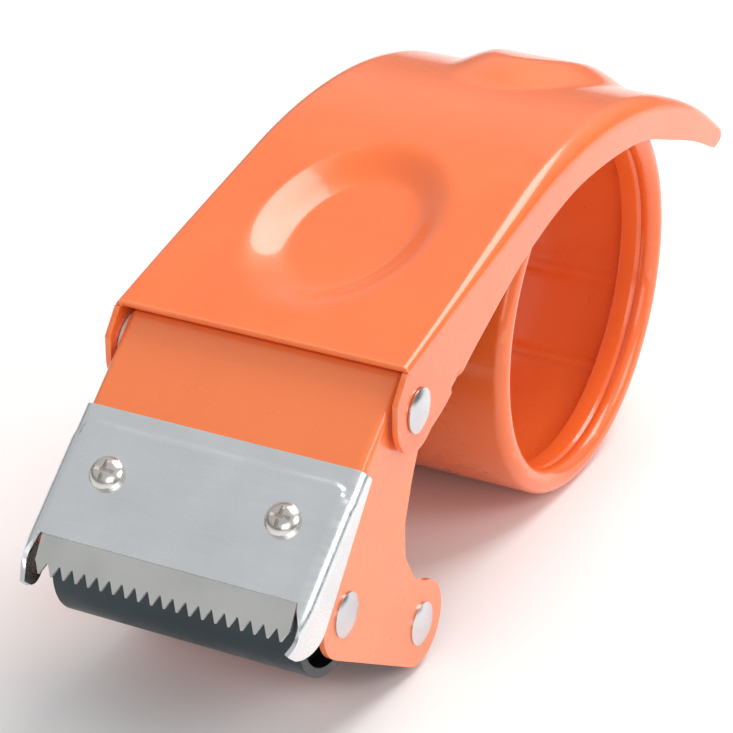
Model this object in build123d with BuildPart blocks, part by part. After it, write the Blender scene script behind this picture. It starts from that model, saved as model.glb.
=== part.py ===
"""Hand-held packing-tape cutter: a pressed nose frame with a hub ring on its far cheek, a hinged handle cover,
two rollers between the cheeks, and a toothed blade clamped under a bright cover at the nose.

Frame: the origin is on the hub's axis at mid-width. +X points forward to the blade, +Y to the open side
that a roll of tape slides on from, +Z up. Millimetres.
"""

from build123d import *
from math import cos, radians, sin, tan
import os

# ---- driving dimensions ----
SHEET = 1.0  # thickness of the pressed steel
COVER_WIDTH = 54.0  # over the handle cover's side flanges
NOSE_WIDTH = 50.4  # over the nose frame's cheeks
HUB_R = 36.0  # takes the 76 mm core of a packing-tape roll

# handle cover, side view
CREST_X, CREST_Z = 11.5, 38.9
CREST_R_FRONT, CREST_R_TAIL = 100.0, 99.0
FRONT_SLOPE, TAIL_SLOPE = 13.5, 36.0  # degrees below level at the two ends
COVER_FRONT_X, COVER_TAIL_X = 81.4, -51.0
COVER_BEND_R = 2.0
HINGE = (77.9, 15.9)
EAR_R, EAR_START = 7.2, -130  # the angle where the ear's arc starts
EAR_FRONT_RISE = 4.0  # height of the ear's upright front edge

# nose plane: a datum point, and the slope of the plate down to the front
NOSE_X, NOSE_Z, NOSE_SLOPE = 93.4, 11.7, 39.3
KNEE_S = -17.5  # where the plate turns level with the cover, up the slope
NOSE_BEND_R = 1.4
NOSE_END_S = 21.5  # lower end of the nose plate, along the slope

# rollers
FRONT_AXLE, FRONT_ROLLER_R, FRONT_ROLLER_WALL = (99.4, -11.0), 11.0, 1.6
REAR_AXLE, REAR_ROLLER_R = (72.8, -27.3), 6.5
AXLE_R, RUNNING_GAP = 2.5, 0.05
ROLLER_LENGTH = 45.4
FRONT_LOBE_R, REAR_LOBE_R = 7.4, 7.6
BUSH_RECESS, BUSH_THICK = 3.0, 3.0
SPACER_R, SPACER_GAP = 4.0, 0.3

# rivets and screws
RIVET_HEAD, RIVET_SHANK_R = (3.8, 1.25), 2.0  # a head is its radius and height
RIVET_TAIL_R, RIVET_TAIL_H = 3.0, 0.7
WASHER_R, WASHER_GAP = 5.5, 0.1
SCREW_S, SCREW_Y, SCREW_R, SCREW_LENGTH = 11.3, 16.1, 1.5, 5.1
SCREW_HEAD_R, SCREW_HEAD_H, RECESS_DEPTH, RECESS_ARM = 2.9, 1.9, 1.1, 0.7
NUT_ACROSS_FLATS, NUT_THICK = 5.5, 1.8

# blade and its cover, along the slope
BLADE_THICK, BLADE_HALF_WIDTH, BLADE_TOP_S = 0.5, 23.3, 4.2
BLADE_BEND, BLADE_DROP = 18.0, 6.4
TOOTH_COUNT, TOOTH_DEPTH = 20, 1.9
GUARD_HALF_WIDTH, GUARD_THICK, GUARD_BEND_R = 26.1, 0.8, 2.4
PLATE_END_S, GUARD_END_S, PLATE_HALF_WIDTH = 23.4, 31.6, 23.7
GUARD_DEPTH_TOP, GUARD_DEPTH_LOW, GUARD_FULL_S = 4.2, 7.6, 16.0  # it reaches its full depth at that s
GUARD_CORNER, GUARD_TIP_RUN, GUARD_TIP_R = 1.5, 5.0, 3.0

# hub ring
RIM_ROLL_R, RIM_DEPTH = 2.3, 7.3  # the near end rolls inward in a half circle and runs back this deep
HUB_BEND_R = 2.4  # between the cylinder and its flange, outside
HUB_FLANGE_R = 26.0
HUB_DISC_R = 33.5
HUB_RIVET_R, HUB_RIVET_CIRCLE, HUB_RIVETS = 1.6, 29.5, 3

# ---- positions worked out from them ----
COVER_HALF = COVER_WIDTH / 2
NOSE_HALF = NOSE_WIDTH / 2
CHEEK_INNER = NOSE_HALF - SHEET
HUB_FAR_Y, HUB_NEAR_Y = -CHEEK_INNER, 22.4


def crest_point(x, inset=0.0):
    """Height of the cover's outside at x, or of a line set in from it by inset."""
    front, tail = radians(FRONT_SLOPE), radians(TAIL_SLOPE)
    if x >= CREST_X:
        r, slope = CREST_R_FRONT, front
    else:
        r, slope = CREST_R_TAIL, tail
    centre_z = CREST_Z - r
    reach = (r - inset) * sin(slope)
    away = abs(x - CREST_X)
    if away <= reach:
        return centre_z + ((r - inset) ** 2 - away**2) ** 0.5
    return centre_z + (r - inset) * cos(slope) - (away - reach) * tan(slope)


def crest_ends(inset):
    """The two points where the crest's arcs meet the straight ends, as (front x, tail x)."""
    return (
        CREST_X + (CREST_R_FRONT - inset) * sin(radians(FRONT_SLOPE)),
        CREST_X - (CREST_R_TAIL - inset) * sin(radians(TAIL_SLOPE)),
    )


def nose_point(s, h):
    """Side-view point at s down the nose's slope and h above its plate."""
    a = radians(NOSE_SLOPE)
    return (NOSE_X + s * cos(a) + h * sin(a), NOSE_Z - s * sin(a) + h * cos(a))


NOSE_PLANE = Plane(
    origin=(NOSE_X, 0, NOSE_Z),
    x_dir=(cos(radians(NOSE_SLOPE)), 0, -sin(radians(NOSE_SLOPE))),
    z_dir=(sin(radians(NOSE_SLOPE)), 0, cos(radians(NOSE_SLOPE))),
)


def side_plane(y):
    """A plane across Y at y, drawn in X and Z, whose extrusions go towards -Y."""
    return Plane(origin=(0, y, 0), x_dir=(1, 0, 0), z_dir=(0, -1, 0))


def facing(side, y, point):
    """A plane at a side-view point whose normal points out of the part on that side (+1 near, -1 far)."""
    return Plane(origin=(point[0], side * y, point[1]), x_dir=(side, 0, 0), z_dir=(0, side, 0))


def finish(part, label):
    """Labels a finished piece and writes its file."""
    part.label = label
    export_step(part, f"parts/{label}.step")


os.makedirs("parts", exist_ok=True)

# ---- handle cover: a channel with an arched top, and ears that carry the hinge rivets ----
# The lower edge of the side flanges, from the tail's corner to the ear.
FLANGE_EDGE = [
    (-47.6, 13.4),
    (-37.8, 18.4),
    (-25.0, 23.6),
    (-11.6, 28.4),
    (4.0, 30.4),
    (20.0, 30.2),
    (38.0, 26.1),
    (55.0, 18.8),
]
EAR_REAR = (68.5, 12.0)


def crest_line(inset, tail_x, front_x):
    """Points and arcs of the arched top, drawn from the front end back to the tail."""
    x_front, x_tail = crest_ends(inset)
    front = (front_x, crest_point(front_x, inset))
    a = (x_front, crest_point(x_front, inset))
    top = (CREST_X, CREST_Z - inset)
    b = (x_tail, crest_point(x_tail, inset))
    tail = (tail_x, crest_point(tail_x, inset))
    Line(front, a)
    RadiusArc(a, top, -(CREST_R_FRONT - inset))
    RadiusArc(top, b, -(CREST_R_TAIL - inset))
    Line(b, tail)
    return front, tail


with BuildPart() as handle_cover:
    with BuildSketch(Plane.XZ):
        with BuildLine():
            front, tail = crest_line(0, COVER_TAIL_X, COVER_FRONT_X)
            Line(tail, FLANGE_EDGE[0])
            Spline(*FLANGE_EDGE)
            ear = CenterArc(HINGE, EAR_R, EAR_START, -EAR_START)
            Polyline(FLANGE_EDGE[-1], EAR_REAR, ear @ 0)
            Polyline(ear @ 1, (HINGE[0] + EAR_R, HINGE[1] + EAR_FRONT_RISE), front)
        make_face()
    extrude(amount=COVER_HALF, both=True)
    long_bends = handle_cover.edges().filter_by(
        lambda e: abs(abs(e.center().Y) - COVER_HALF) < 0.01
        and e.center().Z > crest_point(e.center().X) - 0.6
        and e.length > 20
    )
    fillet(long_bends, COVER_BEND_R)
    with BuildSketch(Plane.XZ):
        with BuildLine():
            inner_front, inner_tail = crest_line(SHEET, COVER_TAIL_X - 5, COVER_FRONT_X + 8)
            Polyline(inner_tail, (COVER_TAIL_X - 5, -30), (COVER_FRONT_X + 8, -30), inner_front)
        make_face()
    extrude(amount=COVER_HALF - SHEET, both=True, mode=Mode.SUBTRACT)
    with BuildSketch(side_plane(COVER_HALF + 1)):
        with Locations(HINGE):
            Circle(RIVET_SHANK_R + RUNNING_GAP)
    extrude(amount=COVER_WIDTH + 2, mode=Mode.SUBTRACT)
finish(handle_cover.part, "handle_cover")

# ---- nose frame: nose plate and two cheeks; the far cheek runs back as the arm that carries the hub ----
KNEE = nose_point(KNEE_S, 0)
PLATE_END = nose_point(NOSE_END_S, 0)
REAR_RUN = 9.2  # length of the plate's rear stretch, which lies parallel to the cover
NOSE_REAR = (KNEE[0] - REAR_RUN * cos(radians(FRONT_SLOPE)), KNEE[1] + REAR_RUN * sin(radians(FRONT_SLOPE)))


def under_knee(reach):
    """The inside of the knee, and points reach along the inside of the rear stretch and of the slope."""
    half_turn = radians(NOSE_SLOPE - FRONT_SLOPE) / 2
    mean, rear = radians(NOSE_SLOPE + FRONT_SLOPE) / 2, radians(FRONT_SLOPE)
    inset = SHEET / cos(half_turn)
    knee = (KNEE[0] - inset * sin(mean), KNEE[1] - inset * cos(mean))
    return (knee[0] - reach * cos(rear), knee[1] + reach * sin(rear)), knee


CHEEK = [
    NOSE_REAR,
    (71.6, 12.2),
    (76.4, 2.0),
    (78.8, -5.0),
    (78.6, -11.5),
    (75.2, -17.2),
    (67.6, -22.2),
    (REAR_AXLE[0] + 3.6, REAR_AXLE[1] - 6.7),
    (102.8, -17.7),
    (107.6, -9.0),
    PLATE_END,
    KNEE,
]
ARM = [(8.0, 22.0), (8.0, -22.0), (78.0, -9.0), (73.5, 16.0)]

with BuildPart() as nose_frame:
    with BuildSketch(Plane.XZ) as cheek_outline:
        with BuildLine():
            Polyline(*CHEEK, close=True)
        make_face()
        with Locations(REAR_AXLE):
            Circle(REAR_LOBE_R)
        with Locations(FRONT_AXLE):
            Circle(FRONT_LOBE_R)
    extrude(amount=NOSE_HALF, both=True)
    plate_bends = nose_frame.edges().filter_by(
        lambda e: abs(abs(e.center().Y) - NOSE_HALF) < 0.01
        and any(
            (e.center() - Vector((a[0] + b[0]) / 2, e.center().Y, (a[1] + b[1]) / 2)).length < 0.01
            for a, b in ((NOSE_REAR, KNEE), (KNEE, PLATE_END))
        )
    )
    fillet(plate_bends, NOSE_BEND_R)
    with BuildSketch(Plane.XZ):
        with BuildLine():
            Polyline(
                *under_knee(REAR_RUN + 5),
                nose_point(NOSE_END_S + 8, -SHEET),
                nose_point(NOSE_END_S + 30, -SHEET - 40),
                (50, -60),
                close=True,
            )
        make_face()
    extrude(amount=CHEEK_INNER, both=True, mode=Mode.SUBTRACT)
    with BuildSketch(side_plane(-CHEEK_INNER)):
        with BuildLine():
            Polyline(*ARM, close=True)
        make_face()
        Circle(HUB_DISC_R)
        Circle(HUB_FLANGE_R, mode=Mode.SUBTRACT)
        with PolarLocations(HUB_RIVET_CIRCLE, HUB_RIVETS, start_angle=90):
            Circle(HUB_RIVET_R + RUNNING_GAP, mode=Mode.SUBTRACT)
    extrude(amount=SHEET)
    with BuildSketch(side_plane(NOSE_HALF + 1)):
        with Locations(FRONT_AXLE, REAR_AXLE):
            Circle(AXLE_R + RUNNING_GAP)
        with Locations(HINGE):
            Circle(RIVET_SHANK_R + RUNNING_GAP)
    extrude(amount=NOSE_WIDTH + 2, mode=Mode.SUBTRACT)
    with BuildSketch(NOSE_PLANE):
        with Locations((SCREW_S, SCREW_Y), (SCREW_S, -SCREW_Y)):
            Circle(SCREW_R + RUNNING_GAP)
    extrude(amount=-2 * SHEET, mode=Mode.SUBTRACT)
finish(nose_frame.part, "nose_frame")

# ---- hub ring: an open cylinder whose near end rolls inward, with a flange on the arm's disc ----
RIM_MID_R = HUB_R - RIM_ROLL_R  # the middle of the rolled edge
RIM_INNER_R = RIM_MID_R - RIM_ROLL_R
ROLL_START_Y = HUB_NEAR_Y - RIM_ROLL_R
ROLL_INSIDE = RIM_ROLL_R - SHEET
FLANGE_TOP_Y = HUB_FAR_Y + SHEET
with BuildPart() as hub_ring:
    with BuildSketch(Plane.XY):
        with BuildLine():
            Line((HUB_FLANGE_R, HUB_FAR_Y), (HUB_R - HUB_BEND_R, HUB_FAR_Y))
            RadiusArc((HUB_R - HUB_BEND_R, HUB_FAR_Y), (HUB_R, HUB_FAR_Y + HUB_BEND_R), -HUB_BEND_R)
            Line((HUB_R, HUB_FAR_Y + HUB_BEND_R), (HUB_R, ROLL_START_Y))
            ThreePointArc((HUB_R, ROLL_START_Y), (RIM_MID_R, HUB_NEAR_Y), (RIM_INNER_R, ROLL_START_Y))
            Polyline(
                (RIM_INNER_R, ROLL_START_Y),
                (RIM_INNER_R, HUB_NEAR_Y - RIM_DEPTH),
                (RIM_INNER_R + SHEET, HUB_NEAR_Y - RIM_DEPTH),
                (RIM_INNER_R + SHEET, ROLL_START_Y),
            )
            ThreePointArc(
                (RIM_INNER_R + SHEET, ROLL_START_Y),
                (RIM_MID_R, ROLL_START_Y + ROLL_INSIDE),
                (HUB_R - SHEET, ROLL_START_Y),
            )
            Line((HUB_R - SHEET, ROLL_START_Y), (HUB_R - SHEET, HUB_FAR_Y + HUB_BEND_R))
            RadiusArc(
                (HUB_R - SHEET, HUB_FAR_Y + HUB_BEND_R),
                (HUB_R - HUB_BEND_R, FLANGE_TOP_Y),
                HUB_BEND_R - SHEET,
            )
            Polyline(
                (HUB_R - HUB_BEND_R, FLANGE_TOP_Y),
                (HUB_FLANGE_R, FLANGE_TOP_Y),
                (HUB_FLANGE_R, HUB_FAR_Y),
            )
        make_face()
    revolve(axis=Axis.Y)
    with BuildSketch(side_plane(FLANGE_TOP_Y)):
        with PolarLocations(HUB_RIVET_CIRCLE, HUB_RIVETS, start_angle=90):
            Circle(HUB_RIVET_R + RUNNING_GAP)
    extrude(amount=SHEET, mode=Mode.SUBTRACT)
finish(hub_ring.part, "hub_ring")


def headed_rod(rod_r, length, head, tail):
    """A rod from z = -length to 0 with a domed head at each end; head and tail are (radius, height)."""
    with BuildPart() as rod:
        with BuildSketch(Plane.XZ):
            with BuildLine():
                Polyline((head[0], 0), (rod_r, 0), (rod_r, -length), (tail[0], -length))
                for (radius, height), base, out in ((head, 0, 1), (tail, -length, -1)):
                    rim = 0.25 * height
                    rise = height - rim
                    dome_r = (radius**2 + rise**2) / (2 * rise)
                    half_way = height - dome_r + (dome_r**2 - (radius / 2) ** 2) ** 0.5
                    Line((radius, base), (radius, base + out * rim))
                    ThreePointArc(
                        (radius, base + out * rim), (radius / 2, base + out * half_way), (0, base + out * height)
                    )
                Line((0, head[1]), (0, -length - tail[1]))
            make_face()
        revolve(axis=Axis.Z)
    return rod.part


# ---- hub rivets: heads inside the ring, shanks through its flange and the arm ----
hub_rivet = headed_rod(HUB_RIVET_R, 2 * SHEET, (HUB_RIVET_R * 1.8, 1.0), (HUB_RIVET_R * 1.5, 0.6))
for index in range(HUB_RIVETS):
    turn = radians(90 + index * 360 / HUB_RIVETS)
    seat = Plane(
        origin=(HUB_RIVET_CIRCLE * cos(turn), FLANGE_TOP_Y, HUB_RIVET_CIRCLE * sin(turn)),
        x_dir=(1, 0, 0),
        z_dir=(0, 1, 0),
    )
    finish(seat.location * hub_rivet, f"hub_rivet_{index + 1}")

# ---- hinge rivets and the washers between the ears and the cheeks ----
HINGE_GRIP = COVER_HALF + WASHER_GAP - CHEEK_INNER
hinge_rivet = headed_rod(RIVET_SHANK_R, HINGE_GRIP, RIVET_HEAD, (RIVET_TAIL_R, RIVET_TAIL_H))

WASHER_THICK = COVER_HALF - SHEET - NOSE_HALF - 2 * WASHER_GAP
with BuildPart() as hinge_washer:
    with BuildSketch(Plane.XY):
        Circle(WASHER_R)
        Circle(RIVET_SHANK_R + RUNNING_GAP, mode=Mode.SUBTRACT)
    extrude(amount=WASHER_THICK)

for side, word in ((1, "near"), (-1, "far")):
    head_seat = facing(side, COVER_HALF + WASHER_GAP, HINGE)
    finish(head_seat.location * hinge_rivet, f"hinge_rivet_{word}")
    washer_seat = facing(side, NOSE_HALF + WASHER_GAP, HINGE)
    finish(washer_seat.location * hinge_washer.part, f"hinge_washer_{word}")


# ---- axles: a rod riveted over into a domed head outside each cheek ----
axle = headed_rod(AXLE_R, NOSE_WIDTH, RIVET_HEAD, RIVET_HEAD)
for centre, label in ((FRONT_AXLE, "front_axle"), (REAR_AXLE, "rear_axle")):
    finish(facing(1, NOSE_HALF, centre).location * axle, label)


def build_tube(centre, outer, inner, y_near, length, label):
    """A plain round tube along Y, drawn at its near end and extruded away."""
    with BuildPart() as tube:
        with BuildSketch(side_plane(y_near)):
            with Locations(centre):
                Circle(outer)
                Circle(inner, mode=Mode.SUBTRACT)
        extrude(amount=length)
    finish(tube.part, label)


# ---- rollers: the front one is a tube on two bushes set in from its ends, the rear one runs on its axle ----
ROLLER_HALF = ROLLER_LENGTH / 2
BORE_R = AXLE_R + RUNNING_GAP
FRONT_INNER_R = FRONT_ROLLER_R - FRONT_ROLLER_WALL
build_tube(FRONT_AXLE, FRONT_ROLLER_R, FRONT_INNER_R, ROLLER_HALF, ROLLER_LENGTH, "front_roller")
build_tube(REAR_AXLE, REAR_ROLLER_R, BORE_R, ROLLER_HALF, ROLLER_LENGTH, "rear_roller")
BUSH_NEAR_Y = ROLLER_HALF - BUSH_RECESS
build_tube(FRONT_AXLE, FRONT_INNER_R, BORE_R, BUSH_NEAR_Y, BUSH_THICK, "front_bush_near")
build_tube(FRONT_AXLE, FRONT_INNER_R, BORE_R, -BUSH_NEAR_Y + BUSH_THICK, BUSH_THICK, "front_bush_far")

# spacers keep the rollers centred between the cheeks
for name, centre, reach in (("front", FRONT_AXLE, BUSH_NEAR_Y), ("rear", REAR_AXLE, ROLLER_HALF)):
    spacer_length = CHEEK_INNER - reach - SPACER_GAP
    build_tube(centre, SPACER_R, BORE_R, CHEEK_INNER, spacer_length, f"{name}_spacer_near")
    build_tube(centre, SPACER_R, BORE_R, -reach - SPACER_GAP, spacer_length, f"{name}_spacer_far")

# ---- blade: a flat strip whose toothed edge is bent down past the cover's lower edge ----
BEND = radians(BLADE_BEND)
TIP = (PLATE_END_S + BLADE_DROP * cos(BEND), BLADE_THICK - BLADE_DROP * sin(BEND))
UNDER_TIP = (TIP[0] - BLADE_THICK * sin(BEND), TIP[1] - BLADE_THICK * cos(BEND))
TOOTH_PLANE_SLOPE = radians(NOSE_SLOPE + BLADE_BEND)
TIP_X, TIP_Z = nose_point(*TIP)
TOOTH_PLANE = Plane(
    origin=(TIP_X, 0, TIP_Z),
    x_dir=(cos(TOOTH_PLANE_SLOPE), 0, -sin(TOOTH_PLANE_SLOPE)),
    z_dir=(sin(TOOTH_PLANE_SLOPE), 0, cos(TOOTH_PLANE_SLOPE)),
)
with BuildPart() as blade:
    with BuildSketch(Plane.XZ):
        with BuildLine():
            Polyline(
                nose_point(BLADE_TOP_S, 0),
                nose_point(PLATE_END_S, 0),
                nose_point(*UNDER_TIP),
                nose_point(*TIP),
                nose_point(PLATE_END_S, BLADE_THICK),
                nose_point(BLADE_TOP_S, BLADE_THICK),
                close=True,
            )
        make_face()
    extrude(amount=BLADE_HALF_WIDTH, both=True)
    pitch = 2 * BLADE_HALF_WIDTH / TOOTH_COUNT
    with BuildSketch(TOOTH_PLANE):
        for index in range(TOOTH_COUNT + 1):
            valley = -BLADE_HALF_WIDTH + index * pitch
            flank = pitch / 2 - 0.08
            with BuildLine():
                Polyline(
                    (0.2, valley - flank - 0.08),
                    (0, valley - flank),
                    (-TOOTH_DEPTH, valley - 0.14),
                    (-TOOTH_DEPTH, valley + 0.14),
                    (0, valley + flank),
                    (0.2, valley + flank + 0.08),
                    close=True,
                )
            make_face()
    extrude(amount=1.5, both=True, mode=Mode.SUBTRACT)
    with BuildSketch(NOSE_PLANE):
        with Locations((SCREW_S, SCREW_Y), (SCREW_S, -SCREW_Y)):
            Circle(SCREW_R + RUNNING_GAP)
    extrude(amount=2, mode=Mode.SUBTRACT)
finish(blade.part, "blade")

# ---- blade cover: a clamp plate with rounded bends and side guards that run on past the blade's ends ----
COVER_TOP_H = BLADE_THICK + GUARD_THICK
SECTION_BLOCK = 40.0  # depth of the block that the section is cut from, well past the guards
SECTION_PLANE = Plane(
    origin=(NOSE_X, 0, NOSE_Z),
    x_dir=(0, 1, 0),
    z_dir=(cos(radians(NOSE_SLOPE)), 0, -sin(radians(NOSE_SLOPE))),
)
TIP_START, TIP_FRONT = GUARD_END_S - GUARD_TIP_RUN, GUARD_END_S - 0.3 * GUARD_TIP_R
TIP_TOP = GUARD_END_S - GUARD_TIP_R
with BuildPart() as blade_cover:
    with BuildSketch(SECTION_PLANE):
        with Locations((0, COVER_TOP_H - SECTION_BLOCK / 2)):
            RectangleRounded(2 * GUARD_HALF_WIDTH, SECTION_BLOCK, GUARD_BEND_R)
        with Locations((0, BLADE_THICK - 0.6 * SECTION_BLOCK)):
            RectangleRounded(
                2 * (GUARD_HALF_WIDTH - GUARD_THICK),
                1.2 * SECTION_BLOCK,
                GUARD_BEND_R - GUARD_THICK,
                mode=Mode.SUBTRACT,
            )
    extrude(amount=GUARD_END_S)
    with BuildSketch(Plane.XZ):
        with BuildLine():
            Polyline(
                nose_point(0, COVER_TOP_H + 1),
                nose_point(0, -GUARD_DEPTH_TOP + GUARD_CORNER),
                nose_point(GUARD_CORNER, -GUARD_DEPTH_TOP),
                nose_point(GUARD_FULL_S, -GUARD_DEPTH_LOW),
                nose_point(TIP_START, -GUARD_DEPTH_LOW),
            )
            ThreePointArc(
                nose_point(TIP_START, -GUARD_DEPTH_LOW),
                nose_point(TIP_FRONT, -GUARD_DEPTH_LOW + GUARD_TIP_R),
                nose_point(GUARD_END_S, COVER_TOP_H - GUARD_TIP_R),
            )
            ThreePointArc(
                nose_point(GUARD_END_S, COVER_TOP_H - GUARD_TIP_R),
                nose_point(TIP_FRONT, COVER_TOP_H - 0.3 * GUARD_TIP_R),
                nose_point(TIP_TOP, COVER_TOP_H),
            )
            Polyline(
                nose_point(TIP_TOP, COVER_TOP_H),
                nose_point(TIP_TOP, COVER_TOP_H + 1),
                nose_point(0, COVER_TOP_H + 1),
            )
        make_face()
    extrude(amount=GUARD_HALF_WIDTH + 1, both=True, mode=Mode.INTERSECT)
    with BuildSketch(NOSE_PLANE):
        with Locations((PLATE_END_S + 10, 0)):
            Rectangle(20, 2 * PLATE_HALF_WIDTH)
        with Locations((SCREW_S, SCREW_Y), (SCREW_S, -SCREW_Y)):
            Circle(SCREW_R + RUNNING_GAP)
    extrude(amount=10, both=True, mode=Mode.SUBTRACT)
finish(blade_cover.part, "blade_cover")

# ---- screws and nuts that clamp the cover and the blade to the nose plate ----
with BuildPart() as blade_screw:
    with BuildSketch(Plane.XZ):
        with BuildLine():
            Line((0, 0), (SCREW_HEAD_R, 0))
            Line((SCREW_HEAD_R, 0), (SCREW_HEAD_R, 0.8))
            ThreePointArc((SCREW_HEAD_R, 0.8), (SCREW_HEAD_R - 0.9, 1.62), (0, SCREW_HEAD_H))
            Line((0, SCREW_HEAD_H), (0, 0))
        make_face()
    revolve(axis=Axis.Z)
    with BuildSketch(Plane.XY):
        Circle(SCREW_R)
    extrude(amount=-SCREW_LENGTH)
    with BuildSketch(Plane.XY.offset(SCREW_HEAD_H + 0.1)):
        Rectangle(2 * SCREW_HEAD_R * 0.62, RECESS_ARM)
        Rectangle(RECESS_ARM, 2 * SCREW_HEAD_R * 0.62)
    extrude(amount=-RECESS_DEPTH, mode=Mode.SUBTRACT)

with BuildPart() as blade_nut:
    with BuildSketch(Plane.XY):
        RegularPolygon(NUT_ACROSS_FLATS / 2, 6, major_radius=False)
        Circle(SCREW_R + RUNNING_GAP, mode=Mode.SUBTRACT)
    extrude(amount=-NUT_THICK)

for side, word in ((1, "near"), (-1, "far")):
    for piece, height, label in ((blade_screw, COVER_TOP_H, "blade_screw"), (blade_nut, -SHEET, "blade_nut")):
        x, z = nose_point(SCREW_S, height)
        seat = Plane(origin=(x, side * SCREW_Y, z), x_dir=NOSE_PLANE.x_dir, z_dir=NOSE_PLANE.z_dir)
        finish(seat.location * piece.part, f"{label}_{word}")
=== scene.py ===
"""Looks of the hand-held packing-tape cutter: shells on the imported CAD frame, materials, light and camera."""

from math import cos, hypot, pi, radians, sin, tan

import bmesh
import bpy
import numpy as np
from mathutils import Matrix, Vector


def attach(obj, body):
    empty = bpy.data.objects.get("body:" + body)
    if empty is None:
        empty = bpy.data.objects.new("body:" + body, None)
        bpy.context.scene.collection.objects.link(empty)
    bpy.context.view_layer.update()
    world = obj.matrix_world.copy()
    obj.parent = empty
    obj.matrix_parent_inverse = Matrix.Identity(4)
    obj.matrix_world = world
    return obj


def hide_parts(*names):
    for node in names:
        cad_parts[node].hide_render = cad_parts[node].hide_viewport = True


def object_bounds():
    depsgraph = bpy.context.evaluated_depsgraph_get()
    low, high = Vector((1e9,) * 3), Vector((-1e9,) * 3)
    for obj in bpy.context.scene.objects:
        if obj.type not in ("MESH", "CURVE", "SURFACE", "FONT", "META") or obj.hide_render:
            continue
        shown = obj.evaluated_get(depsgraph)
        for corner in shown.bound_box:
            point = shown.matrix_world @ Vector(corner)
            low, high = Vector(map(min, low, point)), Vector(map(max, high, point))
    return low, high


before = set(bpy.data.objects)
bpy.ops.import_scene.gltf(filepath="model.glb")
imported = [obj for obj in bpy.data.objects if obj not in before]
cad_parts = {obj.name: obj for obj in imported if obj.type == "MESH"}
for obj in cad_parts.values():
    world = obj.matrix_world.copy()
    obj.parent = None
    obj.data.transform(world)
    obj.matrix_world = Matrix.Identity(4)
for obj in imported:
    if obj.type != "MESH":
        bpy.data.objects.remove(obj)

CAD_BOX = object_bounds()
MM = 0.001

# ---- shared sizes in millimetres, as in the CAD part ----
SHEET = 1.0
COVER_HALF = 27.0
CREST_X, CREST_Z = 11.5, 38.9
CREST_R_FRONT, CREST_R_TAIL = 100.0, 99.0
FRONT_SLOPE, TAIL_SLOPE = radians(13.5), radians(36)
COVER_FRONT_X, COVER_TAIL_X = 81.4, -51.0
HINGE = (77.9, 15.9)
EAR_R, EAR_START, EAR_FRONT_RISE = 7.2, radians(-130), 4.0
FLANGE_EDGE = [
    (-47.6, 13.4),
    (-37.8, 18.4),
    (-25.0, 23.6),
    (-11.6, 28.4),
    (4.0, 30.4),
    (20.0, 30.2),
    (38.0, 26.1),
    (55.0, 18.8),
]
EAR_APPROACH = [(62.5, 15.0), (68.5, 12.0)]
NOSE_X, NOSE_Z, NOSE_SLOPE = 93.4, 11.7, radians(39.3)
HUB_R, HUB_FAR_Y, HUB_NEAR_Y, HUB_FLANGE_R = 36.0, -24.2, 22.4, 26.0
RIM_ROLL_R, RIM_DEPTH, HUB_BEND_R = 2.3, 7.3, 2.4
GUARD_HALF_WIDTH, GUARD_THICK, GUARD_BEND_R = 26.1, 0.8, 2.4
PLATE_END_S, GUARD_END_S, PLATE_HALF_WIDTH = 23.4, 31.6, 23.7
PLATE_TOP_H = 1.3


def crest_height(x):
    """Height of the cover's top at x: two arcs that run out into straight ends."""
    r, slope = (CREST_R_FRONT, FRONT_SLOPE) if x >= CREST_X else (CREST_R_TAIL, TAIL_SLOPE)
    reach, away = r * sin(slope), abs(x - CREST_X)
    if away <= reach:
        return CREST_Z - r + (r * r - away * away) ** 0.5
    return CREST_Z - r + r * cos(slope) - (away - reach) * tan(slope)


def nose_point(s, h):
    """Side-view point at s down the nose's slope and h above its plate."""
    return (
        NOSE_X + s * cos(NOSE_SLOPE) + h * sin(NOSE_SLOPE),
        NOSE_Z - s * sin(NOSE_SLOPE) + h * cos(NOSE_SLOPE),
    )


def smooth(t):
    """Eases from 0 to 1 as t goes from 0 to 1, level at both ends."""
    t = min(max(t, 0.0), 1.0)
    return t * t * (3 - 2 * t)


# ---- mesh helpers ----
def mesh_object(name, verts, faces, weld=0.0):
    """A smooth-shaded object from points in millimetres, with outward normals."""
    mesh = bpy.data.meshes.new(name)
    mesh.from_pydata([tuple(c * MM for c in v) for v in verts], [], faces)
    work = bmesh.new()
    work.from_mesh(mesh)
    if weld:
        bmesh.ops.remove_doubles(work, verts=work.verts, dist=weld * MM)
    bmesh.ops.recalc_face_normals(work, faces=work.faces)
    work.to_mesh(mesh)
    work.free()
    for face in mesh.polygons:
        face.use_smooth = True
    piece = bpy.data.objects.new(name, mesh)
    bpy.context.scene.collection.objects.link(piece)
    return piece


def grid_faces(columns, rows, start=0, closed=False):
    """Quads between neighbouring columns of rows points each; closed joins the last column to the first."""
    faces = []
    for i in range(columns if closed else columns - 1):
        a, b = start + i * rows, start + ((i + 1) % columns) * rows
        for j in range(rows - 1):
            faces.append((a + j, b + j, b + j + 1, a + j + 1))
    return faces


def add_bevel(piece, width, segments=2, angle=40):
    """Rounds the piece's sharp edges so that they catch the light."""
    bevel = piece.modifiers.new("edge", "BEVEL")
    bevel.width = width * MM
    bevel.segments = segments
    bevel.limit_method = "ANGLE"
    bevel.angle_limit = radians(angle)
    bevel.harden_normals = False


def flip(piece):
    """Turns every face of the piece over."""
    piece.data.flip_normals()


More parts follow.
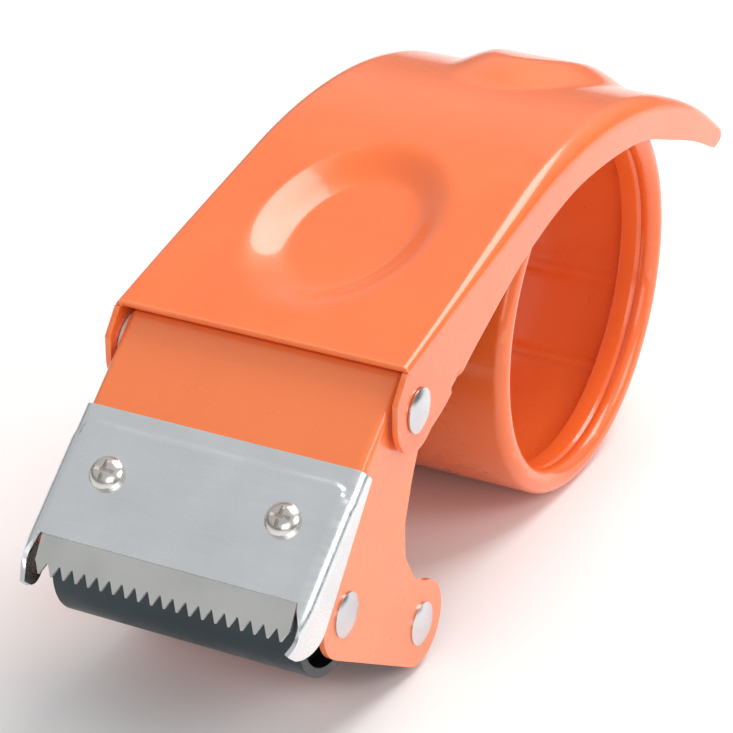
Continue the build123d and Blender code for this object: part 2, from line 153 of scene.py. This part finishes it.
def spline_through(points, steps):
    """Catmull-Rom curve through the points, with steps points in each span."""
    p = [np.array(q, float) for q in points]
    p = [2 * p[0] - p[1]] + p + [2 * p[-1] - p[-2]]
    curve = []
    for a, b, c, d in zip(p, p[1:], p[2:], p[3:]):
        for k in range(steps):
            t = k / steps
            square, cube = 2 * a - 5 * b + 4 * c - d, 3 * b - a - 3 * c + d
            curve.append(0.5 * (2 * b + (c - a) * t + square * t**2 + cube * t**3))
    return curve + [p[-2]]


def resample(points, count):
    """The polyline's points moved to count places spread evenly along it."""
    p = np.array(points)
    run = np.concatenate([[0], np.cumsum(np.hypot(*np.diff(p, axis=0).T))])
    at = np.linspace(0, run[-1], count)
    return np.stack([np.interp(at, run, p[:, 0]), np.interp(at, run, p[:, 1])], -1)


# ---- materials ----
def new_material(name):
    """A new node material, returned with its nodes, links and default shader."""
    material = bpy.data.materials.new(name)
    material.use_nodes = True
    nodes = material.node_tree.nodes
    return material, nodes, material.node_tree.links, nodes["Principled BSDF"]


def add_noise(nodes, links, scale, detail=3.0, stretch=(1, 1, 1), roughness=0.5):
    """Noise in the object's own coordinates; scale is in bumps per metre."""
    where = nodes.new("ShaderNodeTexCoord")
    mapping = nodes.new("ShaderNodeMapping")
    mapping.inputs["Scale"].default_value = stretch
    noise = nodes.new("ShaderNodeTexNoise")
    noise.inputs["Scale"].default_value = scale
    noise.inputs["Detail"].default_value = detail
    noise.inputs["Roughness"].default_value = roughness
    links.new(where.outputs["Object"], mapping.inputs["Vector"])
    links.new(mapping.outputs["Vector"], noise.inputs["Vector"])
    return noise.outputs["Fac"]


def add_ramp(nodes, links, source, stops):
    """A colour ramp; stops are (position, grey or colour)."""
    ramp = nodes.new("ShaderNodeValToRGB")
    while len(ramp.color_ramp.elements) < len(stops):
        ramp.color_ramp.elements.new(0.5)
    for element, (position, value) in zip(ramp.color_ramp.elements, stops):
        element.position = position
        element.color = (*value, 1) if isinstance(value, tuple) else (value, value, value, 1)
    links.new(source, ramp.inputs["Fac"])
    return ramp.outputs["Color"]


def add_bump(nodes, links, shader, heights):
    """Chains bump nodes on the shader; heights are (source, strength, distance in mm)."""
    last = None
    for source, strength, distance in heights:
        bump = nodes.new("ShaderNodeBump")
        bump.inputs["Strength"].default_value = strength
        bump.inputs["Distance"].default_value = distance * MM
        links.new(source, bump.inputs["Height"])
        if last:
            links.new(last, bump.inputs["Normal"])
        last = bump.outputs["Normal"]
    links.new(last, shader.inputs["Normal"])


def paint_material():
    """Glossy orange powder coat: orange peel, a faint mottle and a painted highlight that makes convex edges
    paler.
    """
    material, nodes, links, shader = new_material("orange_paint_look")
    mottle = add_noise(nodes, links, 55, 4)
    base = add_ramp(nodes, links, mottle, [(0.3, (0.90, 0.158, 0.030)), (0.7, (0.94, 0.182, 0.038))])
    # painted highlight: convex edges (high pointiness) are mixed towards a paler orange, standing in for the
    # light that the edges catch
    geometry = nodes.new("ShaderNodeNewGeometry")
    edge = add_ramp(nodes, links, geometry.outputs["Pointiness"], [(0.52, 0.0), (0.60, 0.45)])
    edge_highlight_mix = nodes.new("ShaderNodeMix")
    edge_highlight_mix.data_type = "RGBA"
    links.new(edge, edge_highlight_mix.inputs["Factor"])
    links.new(base, edge_highlight_mix.inputs["A"])
    edge_highlight_mix.inputs["B"].default_value = (0.98, 0.27, 0.09, 1)
    links.new(edge_highlight_mix.outputs["Result"], shader.inputs["Base Color"])
    rough = add_ramp(nodes, links, add_noise(nodes, links, 130, 3), [(0.3, 0.24), (0.7, 0.34)])
    links.new(rough, shader.inputs["Roughness"])
    shader.inputs["Coat Weight"].default_value = 0.6
    shader.inputs["Coat Roughness"].default_value = 0.08
    peel = add_noise(nodes, links, 650, 2)
    grain = add_noise(nodes, links, 2600, 2)
    add_bump(nodes, links, shader, [(peel, 0.22, 0.05), (grain, 0.10, 0.01)])
    return material


def metal_material(name, low, high, rough, stretch, streak_scale=900, bump=0.12, metallic=1.0):
    """Plated or ground steel: streaks along one direction, cloudy colour and small scratches."""
    material, nodes, links, shader = new_material(name)
    cloud = add_noise(nodes, links, 90, 5)
    links.new(add_ramp(nodes, links, cloud, [(0.3, low), (0.7, high)]), shader.inputs["Base Color"])
    shader.inputs["Metallic"].default_value = metallic
    streak = add_noise(nodes, links, streak_scale, 4, stretch)
    gloss = add_ramp(nodes, links, streak, [(0.3, rough[0]), (0.7, rough[1])])
    links.new(gloss, shader.inputs["Roughness"])
    fine = add_noise(nodes, links, 3 * streak_scale, 2, stretch)
    add_bump(nodes, links, shader, [(streak, bump, 0.02), (fine, 0.6 * bump, 0.006)])
    return material


def soft_material(name, low, high, rough, grain_scale, bump):
    """Rubber or plastic: a faint colour mottle and a moulded grain."""
    material, nodes, links, shader = new_material(name)
    links.new(add_ramp(nodes, links, add_noise(nodes, links, 120, 4), [(0.3, low), (0.7, high)]),
              shader.inputs["Base Color"])
    links.new(add_ramp(nodes, links, add_noise(nodes, links, 300, 3), [(0.3, rough[0]), (0.7, rough[1])]),
              shader.inputs["Roughness"])
    add_bump(nodes, links, shader, [(add_noise(nodes, links, grain_scale, 3), bump, 0.02)])
    return material


PAINT = paint_material()
ZINC = metal_material("zinc_plate_look", (0.74, 0.78, 0.80), (0.83, 0.86, 0.88), (0.22, 0.34), (1, 0.12, 1))
BLADE = metal_material(
    "blade_steel_look", (0.62, 0.63, 0.61), (0.72, 0.73, 0.71), (0.30, 0.42), (1, 0.08, 1)
)
BRIGHT = metal_material(
    "bright_steel_look", (0.56, 0.56, 0.58), (0.72, 0.72, 0.74), (0.12, 0.24), (1, 1, 1), 500, 0.10
)
SCREW = metal_material(
    "plated_screw_look", (0.60, 0.57, 0.53), (0.74, 0.71, 0.67), (0.16, 0.28), (1, 1, 1), 700, 0.15
)
RUBBER = soft_material(
    "roller_rubber_look", (0.003, 0.014, 0.020), (0.006, 0.022, 0.030), (0.30, 0.42), 1500, 0.20
)
PLASTIC = soft_material(
    "black_plastic_look", (0.012, 0.012, 0.013), (0.022, 0.022, 0.024), (0.40, 0.55), 1800, 0.25
)
NYLON = soft_material("nylon_look", (0.70, 0.68, 0.61), (0.80, 0.78, 0.71), (0.38, 0.50), 900, 0.10)

LOOKS = {
    "orange_paint": PAINT,
    "zinc_plate": ZINC,
    "blade_steel": BLADE,
    "bright_steel": BRIGHT,
    "plated_screw": SCREW,
    "roller_rubber": RUBBER,
    "black_plastic": PLASTIC,
    "nylon": NYLON,
}

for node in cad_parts.values():
    for place in node.material_slots:
        place.material = LOOKS[place.material.name.split(".")[0]]


def finish_piece(piece, body, slot, *nodes):
    """Gives the piece its slot's look and its body, and hides the CAD nodes that it stands for."""
    piece.data.materials.append(LOOKS[slot])
    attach(piece, body)
    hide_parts(*nodes)
    return piece


# ---- handle cover ----
DISH_AT, DISH_SEMI, DISH_DEPTH = (51.6, 0), (24.0, 17.0), 3.2
DISH_FLOOR_AT, DISH_FLOOR_SEMI = (48.6, 0), (13.5, 9.2)
DISH_WALL_RATIO = 0.62  # how strongly the distance from the dish's floor counts against that from its outline
PALM_AT, PALM_SEMI, PALM_HEIGHT, PALM_EDGE = (-28.0, 0), (29.0, 16.0), 3.4, 0.55
DIMPLE_AT, DIMPLE_SEMI, DIMPLE_DEPTH = (63.7, 14.0), (1.7, 2.1), 0.5


def ellipse_level(x, y, centre, semi):
    """0 at the ellipse's centre and 1 on its outline."""
    return hypot((x - centre[0]) / semi[0], (y - centre[1]) / semi[1])


def pressed_height(x, y):
    """How far the top is pressed down for the thumb or raised for the palm at (x, y)."""
    outer = ellipse_level(x, y, DISH_AT, DISH_SEMI)
    inner = ellipse_level(x, y, DISH_FLOOR_AT, DISH_FLOOR_SEMI)
    height = 0.0
    if outer < 1:
        wall = 1.0 if inner <= 1 else (1 - outer) / max((1 - outer) + (inner - 1) * DISH_WALL_RATIO, 1e-6)
        height -= DISH_DEPTH * smooth(wall)
    palm = ellipse_level(x, y, PALM_AT, PALM_SEMI)
    if palm < 1:
        height += PALM_HEIGHT * smooth((1 - palm) / PALM_EDGE)
    return height


BEND_R_FRONT, BEND_R_GROWS, BEND_GROWTH_RUN = 1.1, 2.4, 75
TAIL_TAPER_X, TAIL_TAPER_RUN = -25, 20  # the radius halves over this run, to fit the tail's shallow flange


def cover_bend_radius(x):
    """The long bends are sharp at the front, grow softer to the crest and tighten again at the tail."""
    growth = smooth((COVER_FRONT_X - x) / BEND_GROWTH_RUN)
    taper = 1 - 0.5 * smooth((TAIL_TAPER_X - x) / TAIL_TAPER_RUN)
    return (BEND_R_FRONT + BEND_R_GROWS * growth) * taper


def cover_lower_path():
    """A side flange's lower outline from the tail round the ear to the front, and the crest's x above it."""
    tail_z = crest_height(COVER_TAIL_X)
    corner = FLANGE_EDGE[0]
    end = np.array((COVER_TAIL_X, tail_z - 2.4))
    start, stop = end, np.array(corner)
    knee = np.array((COVER_TAIL_X + 0.5, corner[1] + 0.2))
    tail_arc = [(1 - t) ** 2 * start + 2 * t * (1 - t) * knee + t * t * stop for t in np.linspace(0, 1, 9)]
    ear_start = (HINGE[0] + EAR_R * cos(EAR_START), HINGE[1] + EAR_R * sin(EAR_START))
    edge = spline_through(FLANGE_EDGE + EAR_APPROACH + [ear_start], 12)
    ear = [(HINGE[0] + EAR_R * cos(a), HINGE[1] + EAR_R * sin(a)) for a in np.linspace(EAR_START, 0, 28)]
    front_corner = (COVER_FRONT_X + 0.3, crest_height(COVER_FRONT_X) - 0.9)
    rise = [(HINGE[0] + EAR_R, HINGE[1]), (HINGE[0] + EAR_R, HINGE[1] + EAR_FRONT_RISE), front_corner]
    sections = [
        (tail_arc, 8, COVER_TAIL_X, -47.5),
        (edge, 156, -47.5, 67.0),
        (ear, 26, 67.0, 77.0),
        (rise, 14, 77.0, COVER_FRONT_X),
    ]
    path, tops = [], []
    for points, count, x_from, x_to in sections:
        places = resample(points, count + 1)
        first = 0 if not path else 1
        path += [tuple(p) for p in places[first:]]
        tops += list(np.linspace(x_from, x_to, count + 1)[first:])
    return path, tops


def build_handle_cover():
    path, tops = cover_lower_path()
    flange_rows, bend_rows, top_rows = 22, 8, 72
    verts, rows = [], 0
    for (x_low, z_low), x in zip(path, tops):
        z, r = crest_height(x), cover_bend_radius(x)
        half = []
        for k in range(flange_rows):
            t = k / flange_rows
            px, pz = x_low + (x - x_low) * t, z_low + (z - r - z_low) * t
            level = ellipse_level(px, pz, DIMPLE_AT, DIMPLE_SEMI)
            half.append((px, COVER_HALF - DIMPLE_DEPTH * smooth((1.25 - level) / 0.4), pz))
        for k in range(bend_rows + 1):
            a = pi / 2 * k / bend_rows
            half.append((x, COVER_HALF - r + r * cos(a), z - r + r * sin(a)))
        inner = COVER_HALF - r
        top = [(x, inner * (1 - 2 * k / top_rows), z) for k in range(1, top_rows)]
        top = [(px, py, pz + pressed_height(px, py)) for px, py, pz in top]
        column = half + top + [(px, -py, pz) for px, py, pz in reversed(half)]
        rows = len(column)
        verts += column
    piece = mesh_object("handle_shell", verts, grid_faces(len(tops), rows))
    if sum(f.normal.z * f.area for f in piece.data.polygons) < 0:
        flip(piece)
    wall = piece.modifiers.new("wall", "SOLIDIFY")
    wall.thickness = SHEET * MM
    wall.offset = -1
    wall.use_even_offset = True
    add_bevel(piece, 0.22, 2, 50)
    return finish_piece(piece, "handle", "orange_paint", "handle_cover")


# ---- hub ring ----
SEAM_ANGLES = (radians(199.5), radians(227.5))  # two pressed ribs inside the ring
SEAM_HEIGHT, SEAM_HALF = 0.7, radians(3.0)


def arc_points(centre, radius, start, stop, count):
    """Points on an arc in (radius from the hub axis, y)."""
    turn = np.linspace(start, stop, count)
    return [(centre[0] + radius * cos(a), centre[1] + radius * sin(a)) for a in turn]


def hub_profile():
    """The ring's section as (radius, y, how much the inner ribs act there)."""
    mid_r, roll_y = HUB_R - RIM_ROLL_R, HUB_NEAR_Y - RIM_ROLL_R
    inner_r, rim_end = mid_r - RIM_ROLL_R, HUB_NEAR_Y - RIM_DEPTH
    flange_turn = (HUB_R - HUB_BEND_R, HUB_FAR_Y + HUB_BEND_R)
    outer = [(HUB_FLANGE_R, HUB_FAR_Y)]
    outer += arc_points(flange_turn, HUB_BEND_R, -pi / 2, 0, 9)
    outer += [(HUB_R, y) for y in np.linspace(HUB_FAR_Y + 4, roll_y - 1, 12)]
    outer += arc_points((mid_r, roll_y), RIM_ROLL_R, 0, pi, 26)
    groove = roll_y - 0.9
    outer += [(inner_r + 0.05, groove + 0.5), (inner_r + 0.45, groove), (inner_r + 0.05, groove - 0.5)]
    outer += [(inner_r - 0.05, groove - 1.0), (inner_r, rim_end + 0.2), (inner_r + 0.25, rim_end)]
    back = [(inner_r + 0.9, rim_end), (inner_r + SHEET, rim_end + 0.3)]
    back += arc_points((mid_r, roll_y), RIM_ROLL_R - SHEET, pi, 0, 16)
    profile = [(r, y, 0.0) for r, y in outer + back]
    inside_r = HUB_R - SHEET
    for y in np.linspace(roll_y - 1, flange_turn[1] + 0.5, 24):
        fade = smooth((y - flange_turn[1] - 0.5) / 2) * smooth((roll_y - 1 - y) / 3)
        profile.append((inside_r, y, fade))
    profile += [(r, y, 0.0) for r, y in arc_points(flange_turn, HUB_BEND_R - SHEET, 0, -pi / 2, 7)]
    profile += [(HUB_FLANGE_R, HUB_FAR_Y + SHEET, 0.0)]
    return profile


def build_hub_ring():
    profile, turns = hub_profile(), 288
    verts = []
    for i in range(turns):
        a = 2 * pi * i / turns
        for r, y, rib in profile:
            if rib:
                for seam in SEAM_ANGLES:
                    away = abs((a - seam + pi) % (2 * pi) - pi)
                    r -= rib * SEAM_HEIGHT * smooth(1 - away / SEAM_HALF)
            verts.append((r * cos(a), y, r * sin(a)))
    rows = len(profile)
    faces = grid_faces(turns, rows, closed=True)
    faces += [(i * rows, ((i + 1) % turns) * rows, ((i + 1) % turns) * rows + rows - 1, i * rows + rows - 1)
              for i in range(turns)]
    piece = mesh_object("hub_ring_shell", verts, faces)
    add_bevel(piece, 0.15, 2, 50)
    return finish_piece(piece, "frame", "orange_paint", "hub_ring")


# ---- blade cover ----
JOGGLE_S, JOGGLE_SIDE, JOGGLE_CORNER_R, JOGGLE_DROP, JOGGLE_RUN = 3.1, 25.2, 3.6, 0.55, 0.9


def plate_height(s, y):
    """The clamp plate's top above the nose plate: raised over the blade, stepped down at its border."""
    across = abs(y) - (JOGGLE_SIDE - JOGGLE_CORNER_R)
    along = (JOGGLE_S + JOGGLE_CORNER_R) - s
    outside = hypot(max(across, 0), max(along, 0)) + min(max(across, along), 0) - JOGGLE_CORNER_R
    return PLATE_TOP_H - JOGGLE_DROP * smooth(0.5 + outside / JOGGLE_RUN)


GUARD_TOP_DEPTH, GUARD_DEEPENS, TIP_START, TIP_RISE = 2.2, 0.205, 24.6, 7.0


def guard_depth(s):
    """How far below the nose plate the guard's lower edge runs, rounded up at its free end."""
    tip = max(0.0, (s - TIP_START) / (GUARD_END_S - TIP_START))
    return GUARD_TOP_DEPTH + GUARD_DEEPENS * s - TIP_RISE * (1 - (1 - tip**2) ** 0.5)


def build_blade_cover():
    plate_s = list(np.linspace(0, PLATE_END_S, 48))
    free_s = list(np.linspace(PLATE_END_S, GUARD_END_S, 22))[1:]
    y_rows = np.linspace(-PLATE_HALF_WIDTH, PLATE_HALF_WIDTH, 97)
    verts = []
    for s in plate_s:
        for y in y_rows:
            x, z = nose_point(s, plate_height(s, y))
            verts.append((x, y, z))
    faces = grid_faces(len(plate_s), len(y_rows))
    bend_rows, side_rows = 9, 12
    for side in (1, -1):
        start = len(verts)
        for s in plate_s + free_s:
            free = max(0.0, (s - PLATE_END_S) / (GUARD_END_S - PLATE_END_S))
            first = pi / 2 * 0.96 * smooth(free * 1.15)
            inward = 1.6 * free**2
            top_h = plate_height(s, GUARD_HALF_WIDTH - 1)
            for k in range(bend_rows + 1):
                a = first + (pi / 2 - first) * k / bend_rows
                y = PLATE_HALF_WIDTH + GUARD_BEND_R * sin(a)
                h = plate_height(s, PLATE_HALF_WIDTH) if k == 0 and not free else top_h
                x, z = nose_point(s, h - GUARD_BEND_R * (1 - cos(a)))
                verts.append((x, side * (y - inward), z))
            low, high = -guard_depth(s), top_h - GUARD_BEND_R
            for k in range(1, side_rows + 1):
                h = high + (low - high) * k / side_rows
                x, z = nose_point(s, h)
                verts.append((x, side * (GUARD_HALF_WIDTH - inward), z))
        faces += grid_faces(len(plate_s + free_s), bend_rows + 1 + side_rows, start)
    piece = mesh_object("blade_clamp_cover", verts, faces, weld=0.02)
    up = Vector((sin(NOSE_SLOPE), 0, cos(NOSE_SLOPE)))
    if sum(f.normal.dot(up) * f.area for f in piece.data.polygons) < 0:
        flip(piece)
    wall = piece.modifiers.new("wall", "SOLIDIFY")
    wall.thickness = GUARD_THICK * MM
    wall.offset = -1
    wall.use_even_offset = True
    add_bevel(piece, 0.18, 2, 50)
    return finish_piece(piece, "frame", "zinc_plate", "blade_cover")


build_handle_cover()
build_hub_ring()
build_blade_cover()

# ---- floor, light and camera ----
low = CAD_BOX[0][2]


def add_floor():
    bpy.ops.mesh.primitive_plane_add(size=4, location=(0, 0, low - 0.0003))
    floor = bpy.context.object
    floor.name = "floor"
    material, nodes, links, shader = new_material("floor_look")
    tint = add_ramp(nodes, links, add_noise(nodes, links, 6, 2), [(0.3, 0.93), (0.7, 0.95)])
    links.new(tint, shader.inputs["Base Color"])
    shader.inputs["Roughness"].default_value = 0.7
    floor.data.materials.append(material)


def add_area(name, place, target, size, power, colour=(1, 1, 1)):
    light = bpy.data.lights.new(name, "AREA")
    light.shape = "RECTANGLE"
    light.size, light.size_y = size
    light.energy = power
    light.color = colour
    lamp = bpy.data.objects.new(name, light)
    lamp.location = place
    lamp.rotation_euler = (Vector(target) - Vector(place)).to_track_quat("-Z", "Y").to_euler()
    bpy.context.scene.collection.objects.link(lamp)


def add_world():
    world = bpy.data.worlds.new("studio")
    bpy.context.scene.world = world
    world.use_nodes = True
    nodes, links = world.node_tree.nodes, world.node_tree.links
    background = nodes["Background"]
    where = nodes.new("ShaderNodeTexCoord")
    split = nodes.new("ShaderNodeSeparateXYZ")
    links.new(where.outputs["Generated"], split.inputs["Vector"])
    sky = add_ramp(nodes, links, split.outputs["Z"], [(0.0, 0.30), (0.14, 0.42), (0.32, 0.95), (1.0, 1.0)])
    links.new(sky, background.inputs["Color"])
    background.inputs["Strength"].default_value = 0.62


add_floor()
add_world()
add_area("key", (-0.36, 0.16, 0.70), (0.02, 0, 0), (0.5, 0.5), 4.6, (1, 0.98, 0.96))
add_area("front_fill", (0.75, 0.30, 0.30), (0.05, 0, 0), (0.5, 0.4), 1.2)
add_area("side_fill", (0.0, 0.75, 0.47), (0.02, 0, 0), (0.5, 0.35), 1.8)

CAMERA_AZIMUTH, CAMERA_ELEVATION, CAMERA_ROLL = radians(117.6), radians(27.236), radians(0.094)
CAMERA_PLACE, CAMERA_LENS, SENSOR = (477.09, 226.82, 253.50), 155.7, 36.0


def add_camera():
    data = bpy.data.cameras.new("camera")
    data.sensor_width = SENSOR
    data.lens = CAMERA_LENS
    data.clip_end = 10
    camera = bpy.data.objects.new("camera", data)
    camera.location = [c * MM for c in CAMERA_PLACE]
    camera.rotation_euler = (pi / 2 - CAMERA_ELEVATION, CAMERA_ROLL, CAMERA_AZIMUTH)
    bpy.context.scene.collection.objects.link(camera)
    bpy.context.scene.camera = camera


add_camera()
bpy.context.scene.view_settings.view_transform = "Standard"
